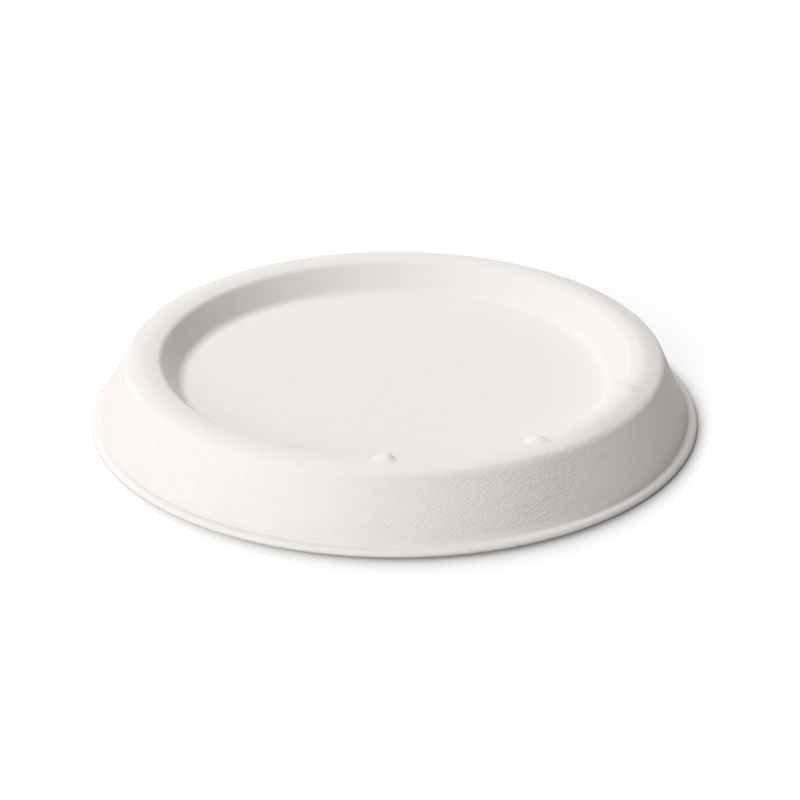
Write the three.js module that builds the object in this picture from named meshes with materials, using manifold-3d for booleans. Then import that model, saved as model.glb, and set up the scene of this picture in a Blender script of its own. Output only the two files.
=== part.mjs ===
// Sugarcane pulp lid for a round takeaway bowl, in millimetres. It stands on its flange at z = 0, and +Z is up.
// The lid is pressed in one piece from wet pulp, so every wall has the same thickness: a recessed panel, an
// inner wall, a crowned crest, a sloping skirt and a small flange, with nubs across the crest's inner edge.

import * as THREE from "three";
import { mergeVertices } from "three/addons/utils/BufferGeometryUtils.js";
import Module from "manifold-3d";

// Overall size and wall
const outerDiameter = 118;
const height = 12.8;
const wall = 0.75;

// Widths seen from above, from the rim inwards
const flangeWidth = 1.7;
const footLedge = 0.35;
const skirtSpread = 5.1;
const crestWidth = 6.6;
const innerWallSpread = 3.9;

// Depth of the panel below the crest, and the crest's crown
const recessDepth = 5.7;
const crestRise = 0.62;

// Flange: a crowned bead with a cut edge, parted by a fine crease from the ledge at the skirt's foot
const creaseHeight = 1.0;
const ledgeRise = 0.12;
const crownRise = 0.35;
const cutEdgeHeight = 0.35;

// Fillets of the upper side
const panelFillet = 2.4;
const lipFillet = 1.8;
const crestFillet = 9;
const shoulderFillet = 2.1;
const footFillet = 0.7;

// Nubs that keep stacked lids apart, as directions in degrees about +Z from +X
const nubDirections = [-92, -57.5, -23];
const nubLength = 5;
const nubWidth = 4;
const nubRise = 0.45;
const nubDepth = 2.6;
const nubOverhang = 1.2;

// Fineness of the curves
const turnsAround = 96;
const arcStep = THREE.MathUtils.degToRad(22);
const crownSteps = 4;
const smallestFillet = 0.2;
const belowGround = 1;

const outerRadius = outerDiameter / 2;
const creaseRadius = outerRadius - flangeWidth;
const footRadius = creaseRadius - footLedge;
const shoulderRadius = footRadius - skirtSpread;
const lipRadius = shoulderRadius - crestWidth;
const panelRadius = lipRadius - innerWallSpread;
const panelHeight = height - recessDepth;
const halfCrest = crestWidth / 2;
const ridgeHeight = height + crestFillet * (Math.hypot(1, crestRise / halfCrest) - 1);
const crestEdgeHeight = ridgeHeight - crestRise;

// The upper side from the axis to the crease as a line with rounded corners. A corner that bends down, away
// from the centre, is convex.
const upperCorners = [
  { at: new THREE.Vector2(0, panelHeight) },
  { at: new THREE.Vector2(panelRadius, panelHeight), fillet: panelFillet },
  { at: new THREE.Vector2(lipRadius, crestEdgeHeight), fillet: lipFillet, convex: true },
  { at: new THREE.Vector2(lipRadius + halfCrest, ridgeHeight), fillet: crestFillet, convex: true },
  { at: new THREE.Vector2(shoulderRadius, crestEdgeHeight), fillet: shoulderFillet, convex: true },
  { at: new THREE.Vector2(footRadius, creaseHeight + ledgeRise), fillet: footFillet },
  { at: new THREE.Vector2(creaseRadius, creaseHeight) },
];

// The lower side follows the upper one at the wall's thickness as far as the skirt, which runs on below the
// ground.
function lowerCorners() {
  const places = upperCorners.map((corner) => corner.at);
  const moved = upperCorners.slice(0, -2).map(({ at, fillet, convex }, index) => {
    const runs = [places[index + 1].clone().sub(at)];
    if (index > 0) runs.push(at.clone().sub(places[index - 1]));
    const intoWall = runs.map((run) => new THREE.Vector2(run.y, -run.x).normalize());
    const sum = intoWall.reduce((total, normal) => total.clone().add(normal));
    const offset = sum.clone().multiplyScalar((intoWall.length * wall) / sum.lengthSq());
    const inner = convex ? Math.max(fillet - wall, smallestFillet) : fillet + wall;
    return { at: at.clone().add(offset), fillet: fillet && inner };
  });
  const shoulder = moved.at(-1).at;
  const skirt = places.at(-2).clone().sub(places.at(-3));
  const foot = shoulder.clone().addScaledVector(skirt, (shoulder.y + belowGround) / -skirt.y);
  return [...moved, { at: foot }];
}

// Points along a line whose corners are rounded by arcs.
function roundedLine(corners) {
  return corners.flatMap(({ at, fillet }, index) => {
    if (!fillet) return [at];
    const back = corners[index - 1].at.clone().sub(at).normalize();
    const ahead = corners[index + 1].at.clone().sub(at).normalize();
    const halfAngle = back.angleTo(ahead) / 2;
    const toCentre = back.clone().add(ahead).normalize();
    const centre = at.clone().addScaledVector(toCentre, fillet / Math.sin(halfAngle));
    const start = at.clone().addScaledVector(back, fillet / Math.tan(halfAngle));
    const turn = Math.sign(ahead.cross(back)) * (Math.PI - 2 * halfAngle);
    const steps = Math.max(2, Math.ceil(Math.abs(turn) / arcStep));
    return Array.from({ length: steps + 1 }, (_, step) =>
      start.clone().rotateAround(centre, (turn * step) / steps),
    );
  });
}

// The flange's crowned top, from the crease to the upper corner of the cut edge.
function crownedFlange() {
  const crease = new THREE.Vector2(creaseRadius, creaseHeight);
  const edge = new THREE.Vector2(outerRadius, cutEdgeHeight);
  const control = new THREE.Vector2(outerRadius - flangeWidth / 4, creaseHeight + crownRise);
  return new THREE.QuadraticBezierCurve(crease, control, edge).getPoints(crownSteps).slice(1);
}

// Everything between a line that runs out from the axis and a level under it, turned about the vertical axis.
function turnedUnder(line, level) {
  const rim = line.at(-1).x;
  const section = [new THREE.Vector2(0, level), new THREE.Vector2(rim, level), ...line.reverse()];
  return solid(new THREE.LatheGeometry(section, turnsAround).rotateX(Math.PI / 2));
}

// A nub's dome at its place on the crest, drawn in by a thickness.
function dome(direction, drawnIn) {
  const inwardEnd = lipRadius - nubOverhang;
  const geometry = new THREE.SphereGeometry(1, 20, 12)
    .rotateX(Math.PI / 2)
    .scale(nubLength / 2 - drawnIn, nubWidth / 2 - drawnIn, nubDepth - drawnIn)
    .translate(inwardEnd + nubLength / 2, 0, height + nubRise - nubDepth)
    .rotateZ(THREE.MathUtils.degToRad(direction));
  return solid(geometry);
}

const wasm = await Module();
wasm.setup();

function solid(geometry) {
  geometry.deleteAttribute("normal");
  geometry.deleteAttribute("uv");
  const merged = mergeVertices(geometry, 1e-4);
  return new wasm.Manifold(
    new wasm.Mesh({
      numProp: 3,
      vertProperties: merged.getAttribute("position").array,
      triVerts: Uint32Array.from(merged.index.array),
    }),
  );
}

function geometryOf(body) {
  const mesh = body.getMesh();
  return new THREE.BufferGeometry()
    .setAttribute("position", new THREE.BufferAttribute(mesh.vertProperties, mesh.numProp))
    .setIndex(new THREE.BufferAttribute(mesh.triVerts, 1));
}

// The outer form less the form of the space under the lid, each with its domes.
function lid() {
  const outer = turnedUnder([...roundedLine(upperCorners), ...crownedFlange()], 0);
  const inner = turnedUnder(roundedLine(lowerCorners()), -belowGround);
  const withDomes = (form, drawnIn) =>
    nubDirections.reduce((body, direction) => body.add(dome(direction, drawnIn)), form);
  return withDomes(outer, 0).subtract(withDomes(inner, wall));
}

const pulp = new THREE.MeshStandardMaterial({ color: 0xf0ece5, roughness: 0.92, metalness: 0 });
const geometry = geometryOf(lid());
geometry.computeVertexNormals();
const mesh = new THREE.Mesh(geometry, pulp);
mesh.name = "lid";

const part = new THREE.Group();
part.add(mesh);
export default part;
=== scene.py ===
"""Sugarcane pulp lid for a round takeaway bowl: its pressed skin with the pulp finish, on a pale floor in
soft light, seen from the photograph's viewing angle. Lengths are in metres, but the finish and the floor's
shade are stated in millimetres."""

import math

import bpy
import numpy as np
from mathutils import Matrix, Vector


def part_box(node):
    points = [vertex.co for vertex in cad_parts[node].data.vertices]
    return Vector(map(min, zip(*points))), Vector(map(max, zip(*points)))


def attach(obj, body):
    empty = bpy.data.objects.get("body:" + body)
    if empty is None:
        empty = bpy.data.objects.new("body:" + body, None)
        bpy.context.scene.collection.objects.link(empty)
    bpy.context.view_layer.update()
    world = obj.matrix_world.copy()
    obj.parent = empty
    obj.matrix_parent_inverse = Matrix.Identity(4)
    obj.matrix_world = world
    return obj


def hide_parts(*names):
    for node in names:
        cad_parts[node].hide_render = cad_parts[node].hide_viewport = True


MM = 0.001

# Section of the lid, as in the frame, but for a crease that is 0.12 mm deeper and so reads as a fine line.
# The flange's curve bends towards a point at CROWN_HEIGHT, CROWN_INSET inwards of the cut edge.
WALL = 0.75 * MM
FLANGE_WIDTH = 1.7 * MM
CROWN_INSET = FLANGE_WIDTH / 4
FOOT_LEDGE = 0.35 * MM
SKIRT_SPREAD = 5.1 * MM
CREST_WIDTH = 6.6 * MM
INNER_WALL_SPREAD = 3.9 * MM
RECESS_DEPTH = 5.7 * MM
CREST_RISE = 0.62 * MM
FOOT_HEIGHT = 1.12 * MM
CROWN_HEIGHT = 1.35 * MM
CREASE_HEIGHT = 0.88 * MM
CUT_EDGE_HEIGHT = 0.35 * MM
PANEL_FILLET = 2.4 * MM
LIP_FILLET = 1.8 * MM
CREST_FILLET = 9.0 * MM
SHOULDER_FILLET = 2.1 * MM
FOOT_FILLET = 0.7 * MM

# Nubs pressed across the crest's inner edge. NUB_RISE is how far they rise over the crest in the frame, and
# NUB_STAND how far their ridge stands out of the skin. The ridge runs a little aside of the middle.
# NUB_LEAN below 1 draws the highest point towards the recess, and NUB_BLUNTNESS above 1 rounds the ridge.
NUB_DIRECTIONS = [math.radians(degrees) for degrees in (-92, -57.5, -23)]
NUB_LENGTH = 5.0 * MM
NUB_OVERHANG = 1.2 * MM
NUB_RISE = 0.45 * MM
NUB_STAND = 0.72 * MM
NUB_GENTLE_SIDE = 2.6 * MM
NUB_STEEP_SIDE = 1.6 * MM
NUB_RIDGE_ASIDE = 0.35 * MM
NUB_LEAN = 0.7
NUB_BLUNTNESS = 1.3

# Fineness of the skin. The stations round the axis lie closer together within NUB_REACH of a nub's middle.
STATIONS_AROUND = 360
STATIONS_ACROSS_NUB = 30
NUB_REACH = 1.2 * NUB_GENTLE_SIDE
ARC_STEP = math.radians(3)
FEWEST_ARC_STEPS = 3
RUN_STEP = 0.5 * MM
CROWN_STEPS = 10
SMALLEST_FILLET = 0.2 * MM

# Camera, fitted to the photograph's outlines. The middle of the lid's base falls on ORIGIN_PIXEL.
LENS_MM = 90
SENSOR_MM = 36
IMAGE_SIDE = 800
CAMERA_DISTANCE = 0.393
CAMERA_ELEVATION = math.radians(25.95)
CAMERA_ROLL = math.radians(0.22)
CLIP_START = 0.01
ORIGIN_PIXEL = (394.4, 406.3)

# Softboxes
SOFTBOX_DISTANCE = 2.0
KEY_SIDE = 0.3
FILL_SIDE = 1.0
WHITE = (1.0, 1.0, 1.0)
WARM_WHITE = (1.0, 0.95, 0.9)

# Floor, and the flange's contact shade painted on it: a disc of painted shade, shifted a little to the front
# right, with a soft edge
FLOOR_SIDE = 6
FLOOR_WHITE = 0.99
SHADE_DEPTH = 0.7
SHADE_SHIFT = (1.2, -2.4, 0)
SHADE_RADIUS = 56.9
SHADE_FADE = 1.5

# Marks of the forming mesh: ripples that a noise shifts by MARK_WAVER periods for each unit. BREAK_WIDTH is
# how wide the noise's features are across the ripples, and BREAK_LENGTH how long they are along them.
MARK_PERIOD = 0.42
MARK_RELIEF = 0.0485
MARK_WAVER = 1.6
BREAK_WIDTH = 0.7
BREAK_LENGTH = 0.85
BREAK_DETAIL = 2.0

# On the skirt the marks slant. They set in beyond the crest and above the ledge, grow from a share of their
# relief at the left to all of it at the front right, and fade at the far right.
SKIRT_MARKS_ACROSS = (0.71, -0.31, -0.64)
SKIRT_MARKS_ALONG = (0.71, 0.31, 0.64)
SKIRT_FROM_RADIUS = 50.4
SKIRT_TO_RADIUS = 52.6
SKIRT_FROM_HEIGHT = 1.4
SKIRT_TO_HEIGHT = 2.6
LEFT_SIDE_SHARE = 0.25
MARKS_RISE_FROM_X = -18
MARKS_RISE_TO_X = 28
MARKS_FALL_FROM_X = 26
MARKS_FALL_TO_X = 49

# On the crest the marks are a little softer. They lie on its outer part, at the right alone.
CREST_MARKS_ACROSS = (0.92, 0.4, 0)
CREST_MARKS_ALONG = (0.4, -0.92, 0)
CREST_MARK_SHARE = 0.95
CREST_FROM_RADIUS = 46.5
CREST_TO_RADIUS = 49.0
CREST_MARKS_FROM_X = 22
CREST_MARKS_TO_X = 42

# Grain, and faint mottling of the pulp's colour and roughness
NOISE_MIDDLE = 0.5
GRAIN_WIDTH = 0.25
GRAIN_DETAIL = 3.0
GRAIN_RELIEF = 0.085
MOTTLE_WIDTH = 5.0
MOTTLE_DETAIL = 4.0
DARKER_PULP = (0.772, 0.746, 0.72, 1)
LIGHTER_PULP = (0.802, 0.776, 0.75, 1)
PULP_SPECULAR = 0.3
PULP_ROUGHNESS = 0.85
ROUGHNESS_SPREAD = 0.3


def rounded_line(corners):
    """Points along a line of (r, z, fillet) corners, where an arc rounds each corner that has a fillet."""
    points = []
    for index, (r, z, fillet) in enumerate(corners):
        corner = Vector((r, z))
        if not fillet:
            points.append(corner)
            continue
        back = (Vector(corners[index - 1][:2]) - corner).normalized()
        ahead = (Vector(corners[index + 1][:2]) - corner).normalized()
        half_angle = back.angle(ahead) / 2
        centre = corner + (back + ahead).normalized() * (fillet / math.sin(half_angle))
        start = corner + back * (fillet / math.tan(half_angle)) - centre
        turn = math.copysign(math.pi - 2 * half_angle, ahead.x * back.y - ahead.y * back.x)
        steps = max(FEWEST_ARC_STEPS, math.ceil(abs(turn) / ARC_STEP))
        turns = [Matrix.Rotation(turn * step / steps, 2) for step in range(steps + 1)]
        points += [centre + part_turn @ start for part_turn in turns]
    return points


def divided(points):
    """The same line with its long straight runs divided."""
    fine = [points[0]]
    for start, end in zip(points, points[1:]):
        steps = max(1, round((end - start).length / RUN_STEP))
        fine += [start.lerp(end, step / steps) for step in range(1, steps + 1)]
    return fine


def upper_corners(outer_radius, crest_height):
    """The upper side from the axis to the crease, as (r, z, fillet, sign of the bend)."""
    crease = outer_radius - FLANGE_WIDTH
    foot = crease - FOOT_LEDGE
    shoulder = foot - SKIRT_SPREAD
    lip = shoulder - CREST_WIDTH
    half_crest = CREST_WIDTH / 2
    ridge = crest_height + CREST_FILLET * (math.hypot(1, CREST_RISE / half_crest) - 1)
    edge = ridge - CREST_RISE
    panel_height = crest_height - RECESS_DEPTH
    return [
        (0.0, panel_height, 0.0, 0),
        (lip - INNER_WALL_SPREAD, panel_height, PANEL_FILLET, 1),
        (lip, edge, LIP_FILLET, -1),
        (lip + half_crest, ridge, CREST_FILLET, -1),
        (shoulder, edge, SHOULDER_FILLET, -1),
        (foot, FOOT_HEIGHT, FOOT_FILLET, 1),
        (crease, CREASE_HEIGHT, 0.0, 0),
    ]


def lower_corners(corners):
    """The lower side, a wall's thickness behind the upper one, from the axis down the skirt to the ground."""
    places = [Vector(corner[:2]) for corner in corners]
    moved = []
    for index, (place, (_, _, fillet, bend)) in enumerate(zip(places[:-2], corners)):
        beside = places[max(index - 1, 0) : index + 2]
        runs = [end - start for start, end in zip(beside, beside[1:])]
        normals = [Vector((run.y, -run.x)).normalized() for run in runs]
        total = sum(normals, Vector((0, 0)))
        offset = total * (len(normals) * WALL / total.length_squared)
        inner = max(fillet + bend * WALL, SMALLEST_FILLET) if fillet else 0.0
        moved.append((*(place + offset), inner))
    shoulder = Vector(moved[-1][:2])
    down = places[-2] - places[-3]
    on_ground = shoulder + down * (shoulder.y / -down.y)
    return [*moved, (on_ground.x, 0.0, 0.0)]


def crowned_flange(outer_radius):
    """The flange's crowned top, from the crease to the cut edge."""
    crease = Vector((outer_radius - FLANGE_WIDTH, CREASE_HEIGHT))
    control = Vector((outer_radius - CROWN_INSET, CROWN_HEIGHT))
    edge = Vector((outer_radius, CUT_EDGE_HEIGHT))
    shares = [step / CROWN_STEPS for step in range(1, CROWN_STEPS + 1)]
    return [crease.lerp(control, t).lerp(control.lerp(edge, t), t) for t in shares]


def skin_section(outer_radius, crest_height):
    """The (r, z) points of the skin, out over its upper side and back under it, and how many are on top."""
    corners = upper_corners(outer_radius, crest_height)
    top_line = rounded_line([corner[:3] for corner in corners])
    under_line = rounded_line(lower_corners(corners))
    top = [top_line[0], *divided(top_line[1:]), *crowned_flange(outer_radius)]
    under = [under_line[0], *divided(under_line[1:])]
    section = [*top, Vector((outer_radius, 0.0)), *reversed(under)]
    return np.array([tuple(point) for point in section]), len(top)


def stations(nub_half_angle):
    """Directions of the sections round the axis, closer together across each nub."""
    even = np.linspace(-math.pi, math.pi, STATIONS_AROUND, endpoint=False)
    clear = [angle for angle in even if all(abs(angle - nub) > nub_half_angle for nub in NUB_DIRECTIONS)]
    across = np.linspace(-nub_half_angle, nub_half_angle, STATIONS_ACROSS_NUB)
    return np.array(sorted(clear + [nub + angle for nub in NUB_DIRECTIONS for angle in across]))


def lift_directions(section, top_count):
    """The way in which a nub lifts each point between the poles: out of the upper side, into the lower."""
    ahead = np.roll(section, -1, axis=0)[1:-1] - np.roll(section, 1, axis=0)[1:-1]
    normals = np.stack([-ahead[:, 1], ahead[:, 0]], axis=1)
    normals /= np.linalg.norm(normals, axis=1)[:, None]
    normals[top_count - 1 :] *= -1
    return normals


def nub_lift(rings, angles, lip_radius, crest_height):
    """How far each ring is lifted at each station: a ridge along each nub, with a gentle and a steep side,
    that ends halfway down the inner wall."""
    share = np.clip((rings[:, 0] - lip_radius + NUB_OVERHANG) / NUB_LENGTH, 0, 1)
    high_enough = rings[:, 1] > crest_height - RECESS_DEPTH / 2
    lengthwise = np.sin(math.pi * share**NUB_LEAN) * high_enough
    lift = np.zeros((len(rings), len(angles)))
    for nub in NUB_DIRECTIONS:
        aside = (angles - nub) * lip_radius - NUB_RIDGE_ASIDE
        side_share = np.where(aside < 0, -aside / NUB_GENTLE_SIDE, aside / NUB_STEEP_SIDE)
        across = np.cos(np.clip(side_share, 0, 1) ** NUB_BLUNTNESS * math.pi) / 2 + 0.5
        lift += NUB_STAND * lengthwise[:, None] * across[None, :]
    return lift


def skin_faces(rows, count):
    """Faces between rows of points, and fans to the two poles, which are the last points."""
    faces = []
    for row in range(rows - 1):
        for column in range(count):
            here = row * count + column
            beside = row * count + (column + 1) % count
            faces.append((here, here + count, beside + count, beside))
    top_pole = rows * count
    under_pole = top_pole + 1
    last_row = (rows - 1) * count
    for column in range(count):
        beside = (column + 1) % count
        faces.append((top_pole, column, beside))
        faces.append((under_pole, last_row + beside, last_row + column))
    return faces


def skin_mesh(name, outer_radius, crest_height):
    """The whole skin, upper and lower side, as one closed mesh."""
    lip_radius = outer_radius - FLANGE_WIDTH - FOOT_LEDGE - SKIRT_SPREAD - CREST_WIDTH
    section, top_count = skin_section(outer_radius, crest_height)
    angles = stations(NUB_REACH / lip_radius)
    rings = section[1:-1]
    lift = nub_lift(rings, angles, lip_radius, crest_height)
    lifted = rings[:, None, :] + lift_directions(section, top_count)[:, None, :] * lift[:, :, None]
    r = lifted[..., 0]
    z = lifted[..., 1]
    grid = np.stack([r * np.cos(angles), r * np.sin(angles), z], axis=-1).reshape(-1, 3)
    poles = np.array([[0, 0, section[0][1]], [0, 0, section[-1][1]]])
    mesh = bpy.data.meshes.new(name)
    mesh.from_pydata(np.concatenate([grid, poles]).tolist(), [], skin_faces(len(rings), len(angles)))
    mesh.shade_smooth()
    return mesh


def skin():
    """The lid's skin, which stands for the frame's plain solid."""
    _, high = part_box("lid")
    mesh = skin_mesh("pressed_lid", high[0], high[2] - NUB_RISE)
    lid = bpy.data.objects.new("pressed_lid", mesh)
    bpy.context.scene.collection.objects.link(lid)
    mesh.materials.append(pulp())
    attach(lid, "root")
    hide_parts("lid")


def feed(tree, value, socket):
    """Sets a socket to a plain value, or links it where the value is another node's output."""
    if isinstance(value, bpy.types.NodeSocket):
        tree.links.new(value, socket)
    else:
        socket.default_value = value


def maths(tree, operation, *values):
    """The result of a Math node."""
    node = tree.nodes.new("ShaderNodeMath")
    node.operation = operation
    for value, socket in zip(values, node.inputs):
        feed(tree, value, socket)
    return node.outputs["Value"]


def product(tree, first, *others):
    """All the values multiplied with each other."""
    for other in others:
        first = maths(tree, "MULTIPLY", first, other)
    return first


def vector_maths(tree, operation, *values):
    """A Vector Math node, whose result is in its Vector or its Value output."""
    node = tree.nodes.new("ShaderNodeVectorMath")
    node.operation = operation
    for value, socket in zip(values, node.inputs):
        feed(tree, value, socket)
    return node


def along(tree, place, direction):
    """How far a place lies along a direction."""
    return vector_maths(tree, "DOT_PRODUCT", place, direction).outputs["Value"]


def millimetres(tree):
    """The place on the object in millimetres."""
    coordinates = tree.nodes.new("ShaderNodeTexCoord")
    scale = vector_maths(tree, "SCALE", coordinates.outputs["Object"])
    scale.inputs["Scale"].default_value = 1 / MM
    return scale.outputs["Vector"]


def noise(tree, place, width, detail):
    """Noise about nought, with features of one width."""
    node = tree.nodes.new("ShaderNodeTexNoise")
    feed(tree, place, node.inputs["Vector"])
    node.inputs["Scale"].default_value = 1 / width
    node.inputs["Detail"].default_value = detail
    return maths(tree, "SUBTRACT", node.outputs["Fac"], NOISE_MIDDLE)


def rising(tree, value, low, high):
    """Nought at the low level, one at the high one and smooth between, also where low is the greater."""
    node = tree.nodes.new("ShaderNodeMapRange")
    node.interpolation_type = "SMOOTHSTEP"
    for given, name in ((value, "Value"), (low, "From Min"), (high, "From Max")):
        feed(tree, given, node.inputs[name])
    return node.outputs["Result"]


def marks(tree, place, across, lengthwise):
    """Fine wavy marks: ripples across one direction, shifted by a noise that is longer the other way."""
    distance = along(tree, place, across)
    stretched = tree.nodes.new("ShaderNodeCombineXYZ")
    feed(tree, maths(tree, "DIVIDE", distance, BREAK_WIDTH), stretched.inputs["X"])
    feed(tree, maths(tree, "DIVIDE", along(tree, place, lengthwise), BREAK_LENGTH), stretched.inputs["Y"])
    breaks = noise(tree, stretched.outputs["Vector"], width=1.0, detail=BREAK_DETAIL)
    shift = product(tree, breaks, MARK_WAVER)
    turns = maths(tree, "ADD", maths(tree, "DIVIDE", distance, MARK_PERIOD), shift)
    return maths(tree, "SINE", product(tree, turns, 2 * math.pi))


def skirt_share(tree, aside, upright, radius):
    """The share of their relief that the skirt's marks have at a place."""
    beyond_crest = rising(tree, radius, SKIRT_FROM_RADIUS, SKIRT_TO_RADIUS)
    above_ledge = rising(tree, upright, SKIRT_FROM_HEIGHT, SKIRT_TO_HEIGHT)
    growth = rising(tree, aside, MARKS_RISE_FROM_X, MARKS_RISE_TO_X)
    left_share = maths(tree, "MULTIPLY_ADD", growth, 1 - LEFT_SIDE_SHARE, LEFT_SIDE_SHARE)
    right_share = rising(tree, aside, MARKS_FALL_TO_X, MARKS_FALL_FROM_X)
    return product(tree, beyond_crest, above_ledge, product(tree, left_share, right_share))


def crest_share(tree, aside, radius):
    """The share of their relief that the crest's marks have at a place."""
    beyond_lip = rising(tree, radius, CREST_FROM_RADIUS, CREST_TO_RADIUS)
    before_skirt = rising(tree, radius, SKIRT_TO_RADIUS, SKIRT_FROM_RADIUS)
    at_right = rising(tree, aside, CREST_MARKS_FROM_X, CREST_MARKS_TO_X)
    return product(tree, beyond_lip, before_skirt, at_right)


def pulp_relief(tree, place):
    """How far the marks and the grain stand out at a place, in millimetres."""
    aside = along(tree, place, (1, 0, 0))
    upright = along(tree, place, (0, 0, 1))
    level = vector_maths(tree, "MULTIPLY", place, (1, 1, 0)).outputs["Vector"]
    radius = vector_maths(tree, "LENGTH", level).outputs["Value"]
    skirt_marks = marks(tree, place, SKIRT_MARKS_ACROSS, SKIRT_MARKS_ALONG)
    crest_marks = marks(tree, place, CREST_MARKS_ACROSS, CREST_MARKS_ALONG)
    on_skirt = product(tree, skirt_marks, skirt_share(tree, aside, upright, radius), MARK_RELIEF)
    on_crest = product(tree, crest_marks, crest_share(tree, aside, radius), MARK_RELIEF * CREST_MARK_SHARE)
    grain = product(tree, noise(tree, place, GRAIN_WIDTH, GRAIN_DETAIL), GRAIN_RELIEF)
    return maths(tree, "ADD", maths(tree, "ADD", on_skirt, on_crest), grain)


def pulp():
    """Pressed sugarcane pulp: matt warm off-white with mesh marks, grain and faint mottling."""
    material = bpy.data.materials.new("pulp")
    material.use_nodes = True
    tree = material.node_tree
    shader = tree.nodes["Principled BSDF"]
    shader.inputs["Specular IOR Level"].default_value = PULP_SPECULAR
    place = millimetres(tree)

    bump = tree.nodes.new("ShaderNodeBump")
    bump.inputs["Distance"].default_value = MM
    feed(tree, pulp_relief(tree, place), bump.inputs["Height"])
    feed(tree, bump.outputs["Normal"], shader.inputs["Normal"])

    mottle = noise(tree, place, MOTTLE_WIDTH, MOTTLE_DETAIL)
    mix = tree.nodes.new("ShaderNodeMix")
    mix.data_type = "RGBA"
    feed(tree, maths(tree, "ADD", mottle, NOISE_MIDDLE), mix.inputs["Factor"])
    darker, lighter = [socket for socket in mix.inputs if socket.type == "RGBA"]
    darker.default_value = DARKER_PULP
    lighter.default_value = LIGHTER_PULP
    colour = next(socket for socket in mix.outputs if socket.type == "RGBA")
    feed(tree, colour, shader.inputs["Base Color"])
    roughness = maths(tree, "ADD", product(tree, mottle, ROUGHNESS_SPREAD), PULP_ROUGHNESS)
    feed(tree, roughness, shader.inputs["Roughness"])
    return material


def floor():
    """A pale floor that runs out of the picture, with the soft contact shade of the flange painted into its
    colour.
    """
    bpy.ops.mesh.primitive_plane_add(size=FLOOR_SIDE, location=(0, 0, 0))
    plane = bpy.context.object
    plane.name = "floor"
    material = bpy.data.materials.new("floor")
    material.use_nodes = True
    tree = material.node_tree
    shader = tree.nodes["Principled BSDF"]
    shader.inputs["Roughness"].default_value = 1
    # Painted shade: the floor's colour darkens inside a soft-edged disc round the flange
    from_shade = vector_maths(tree, "SUBTRACT", millimetres(tree), SHADE_SHIFT).outputs["Vector"]
    distance = vector_maths(tree, "LENGTH", from_shade).outputs["Value"]
    beyond = maths(tree, "SUBTRACT", distance, SHADE_RADIUS)
    fading = maths(tree, "EXPONENT", maths(tree, "DIVIDE", beyond, -SHADE_FADE))
    shade = maths(tree, "MINIMUM", product(tree, fading, SHADE_DEPTH), SHADE_DEPTH)
    brightness = product(tree, maths(tree, "SUBTRACT", 1.0, shade), FLOOR_WHITE)
    feed(tree, brightness, shader.inputs["Base Color"])
    plane.data.materials.append(material)


def camera():
    """A camera at the photograph's viewing angle, aimed so that the lid's base falls on its pixel."""
    data = bpy.data.cameras.new("camera")
    data.lens = LENS_MM
    data.sensor_width = SENSOR_MM
    data.clip_start = CLIP_START
    eye_direction = Vector((0, -math.cos(CAMERA_ELEVATION), math.sin(CAMERA_ELEVATION)))
    up = Vector((0, math.sin(CAMERA_ELEVATION), math.cos(CAMERA_ELEVATION)))
    right = Vector((1, 0, 0))
    metres_per_pixel = CAMERA_DISTANCE * SENSOR_MM / LENS_MM / IMAGE_SIDE
    middle = IMAGE_SIDE / 2
    aim_right = right * (middle - ORIGIN_PIXEL[0]) * metres_per_pixel
    aim_up = up * (ORIGIN_PIXEL[1] - middle) * metres_per_pixel
    eye = eye_direction * CAMERA_DISTANCE
    look = aim_right + aim_up - eye
    turned = look.to_track_quat("-Z", "Y").to_matrix() @ Matrix.Rotation(CAMERA_ROLL, 3, "Z")
    viewer = bpy.data.objects.new("camera", data)
    viewer.matrix_world = Matrix.Translation(eye) @ turned.to_4x4()
    bpy.context.scene.collection.objects.link(viewer)
    bpy.context.scene.camera = viewer


def softbox(name, azimuth, elevation, side, watts, colour=WHITE):
    """A square softbox aimed at the lid, at degrees of azimuth from +X and of elevation."""
    data = bpy.data.lights.new(name, "AREA")
    data.size = side
    data.energy = watts
    data.color = colour
    turn = math.radians(azimuth)
    lift = math.radians(elevation)
    level = math.cos(lift)
    direction = Vector((math.cos(turn) * level, math.sin(turn) * level, math.sin(lift)))
    light = bpy.data.objects.new(name, data)
    light.location = direction * SOFTBOX_DISTANCE
    light.rotation_euler = (-direction).to_track_quat("-Z", "Y").to_euler()
    bpy.context.scene.collection.objects.link(light)


def lights():
    """Small high keys on the left, wide softboxes elsewhere, and a white world that only the camera sees."""
    softbox("key", azimuth=180, elevation=55, side=KEY_SIDE, watts=5.4)
    softbox("key_behind", azimuth=165, elevation=60, side=KEY_SIDE, watts=18.5)
    softbox("front_low", azimuth=240, elevation=15, side=FILL_SIDE, watts=13.6)
    softbox("front_high", azimuth=240, elevation=30, side=FILL_SIDE, watts=9.2)
    softbox("back_middle", azimuth=90, elevation=45, side=FILL_SIDE, watts=14.4)
    softbox("back_low", azimuth=90, elevation=15, side=FILL_SIDE, watts=7.1)
    softbox("right_fill", azimuth=315, elevation=45, side=FILL_SIDE, watts=5.5, colour=WARM_WHITE)
    world = bpy.data.worlds.new("world")
    world.use_nodes = True
    background = world.node_tree.nodes["Background"]
    background.inputs["Color"].default_value = (*WHITE, 1)
    rays = world.node_tree.nodes.new("ShaderNodeLightPath")
    feed(world.node_tree, rays.outputs["Is Camera Ray"], background.inputs["Strength"])
    bpy.context.scene.world = world
    bpy.context.scene.view_settings.view_transform = "Standard"


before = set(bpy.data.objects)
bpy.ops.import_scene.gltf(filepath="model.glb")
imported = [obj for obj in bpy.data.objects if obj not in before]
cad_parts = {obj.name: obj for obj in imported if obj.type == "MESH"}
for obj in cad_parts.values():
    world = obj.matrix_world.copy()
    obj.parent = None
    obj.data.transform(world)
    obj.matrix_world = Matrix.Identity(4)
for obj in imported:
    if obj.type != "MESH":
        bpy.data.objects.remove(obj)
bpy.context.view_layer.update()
camera()
skin()
floor()
lights()
